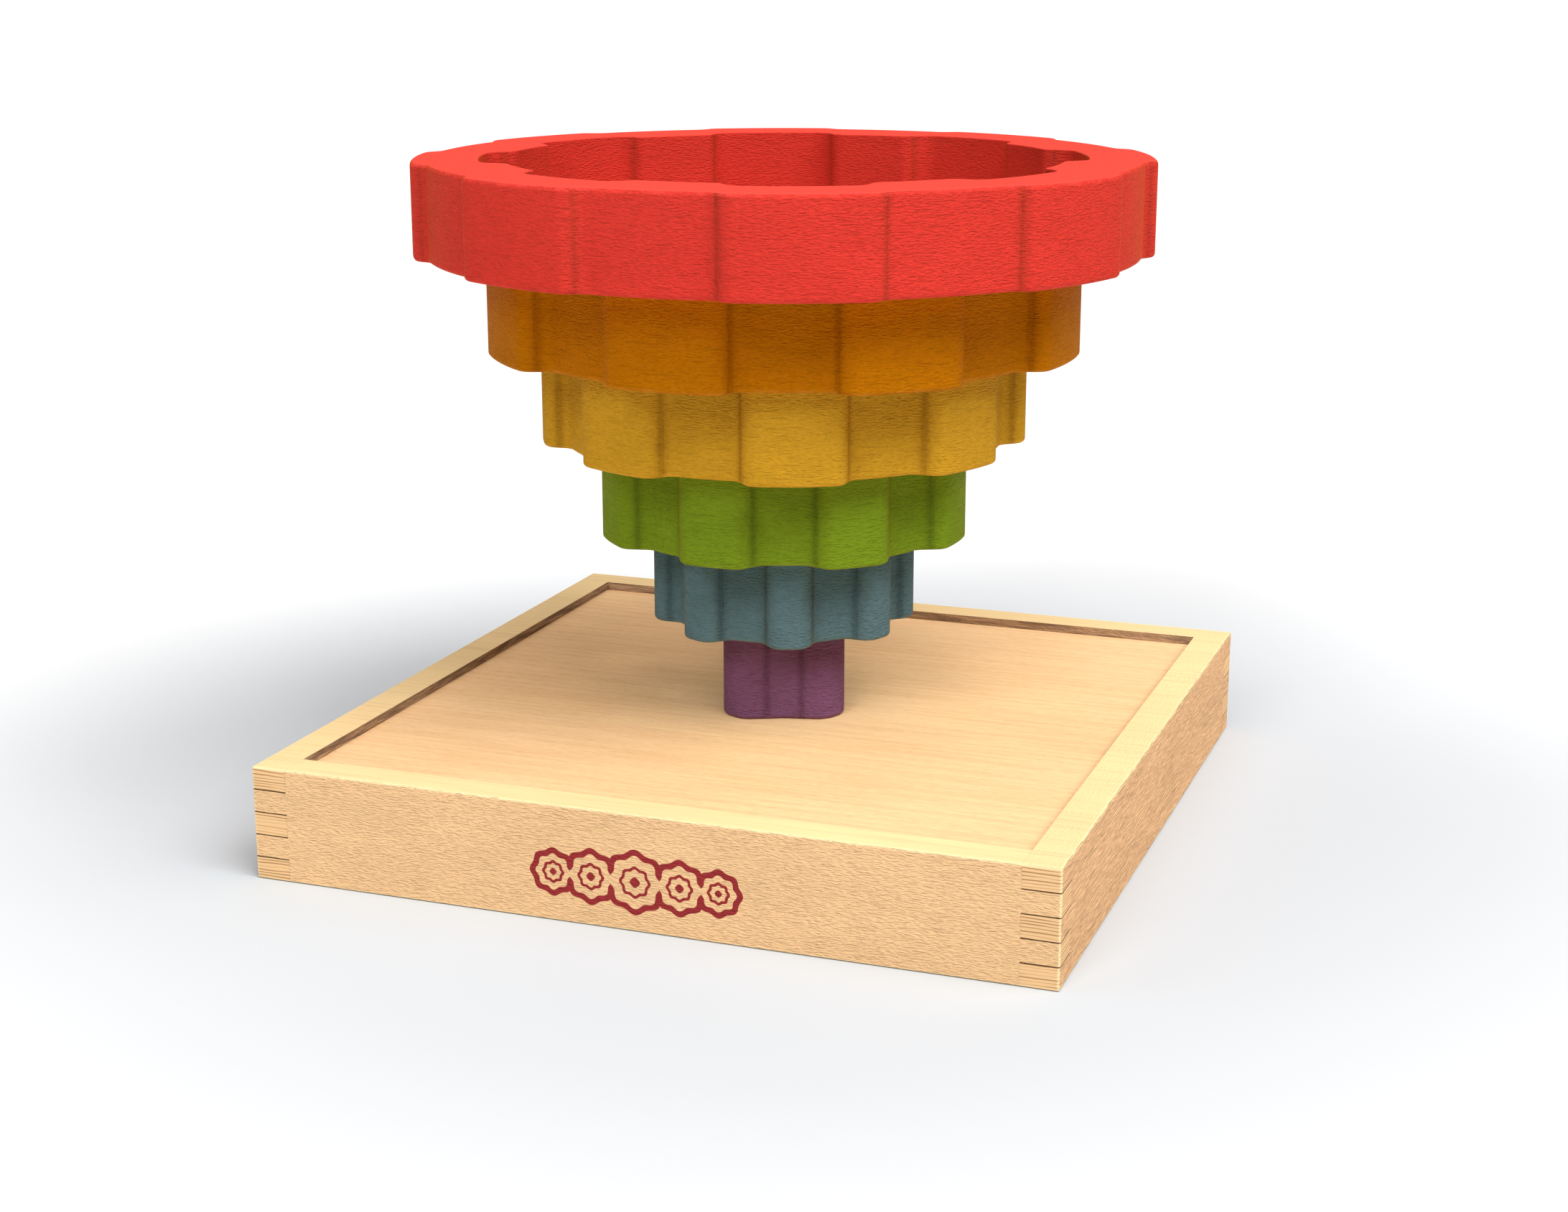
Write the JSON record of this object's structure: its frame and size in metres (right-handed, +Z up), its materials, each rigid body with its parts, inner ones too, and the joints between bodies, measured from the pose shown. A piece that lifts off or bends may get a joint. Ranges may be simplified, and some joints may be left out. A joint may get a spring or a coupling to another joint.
{
  "type": "stacking tower puzzle",
  "caption": "Nesting wooden tower puzzle: lobed rings and a solid core, stacked smallest first on the upturned finger-jointed tray that stores them.",
  "frame": {"origin": "middle of the tray's footprint, on the surface that the tray stands on", "axes": "+X along the front rail, +Y from the front rail to the back rail, +Z up along the axis of the stacked pieces"},
  "size_m": [0.21, 0.21, 0.1769],
  "materials": {
    "beech": "bare sanded beech",
    "plywood": "bare sanded plywood",
    "purple_stain": "satin purple stain on wood",
    "blue_stain": "satin grey-blue stain on wood",
    "green_stain": "satin green stain on wood",
    "yellow_stain": "satin yellow stain on wood",
    "orange_stain": "satin orange stain on wood",
    "red_stain": "satin red stain on wood"
  },
  "bodies": {
    "tray": {"rail_front": "beech", "rail_right": "beech", "rail_back": "beech", "rail_left": "beech", "tray_panel": "plywood"},
    "core": {"core_purple": "purple_stain"},
    "blue_ring": {"ring_blue": "blue_stain"},
    "green_ring": {"ring_green": "green_stain"},
    "yellow_ring": {"ring_yellow": "yellow_stain"},
    "orange_ring": {"ring_orange": "orange_stain"},
    "red_ring": {"ring_red": "red_stain"}
  },
  "joints": [
    {"name": "core_lift", "type": "slide", "parent": "tray", "child": "core", "axis": [0, 0, 1], "range_m": [0, 0.04]},
    {"name": "blue_lift", "type": "slide", "parent": "core", "child": "blue_ring", "axis": [0, 0, 1], "range_m": [0, 0.04]},
    {"name": "green_lift", "type": "slide", "parent": "blue_ring", "child": "green_ring", "axis": [0, 0, 1], "range_m": [0, 0.04]},
    {"name": "yellow_lift", "type": "slide", "parent": "green_ring", "child": "yellow_ring", "axis": [0, 0, 1], "range_m": [0, 0.04]},
    {"name": "orange_lift", "type": "slide", "parent": "yellow_ring", "child": "orange_ring", "axis": [0, 0, 1], "range_m": [0, 0.04]},
    {"name": "red_lift", "type": "slide", "parent": "orange_ring", "child": "red_ring", "axis": [0, 0, 1], "range_m": [0, 0.04]}
  ]
}
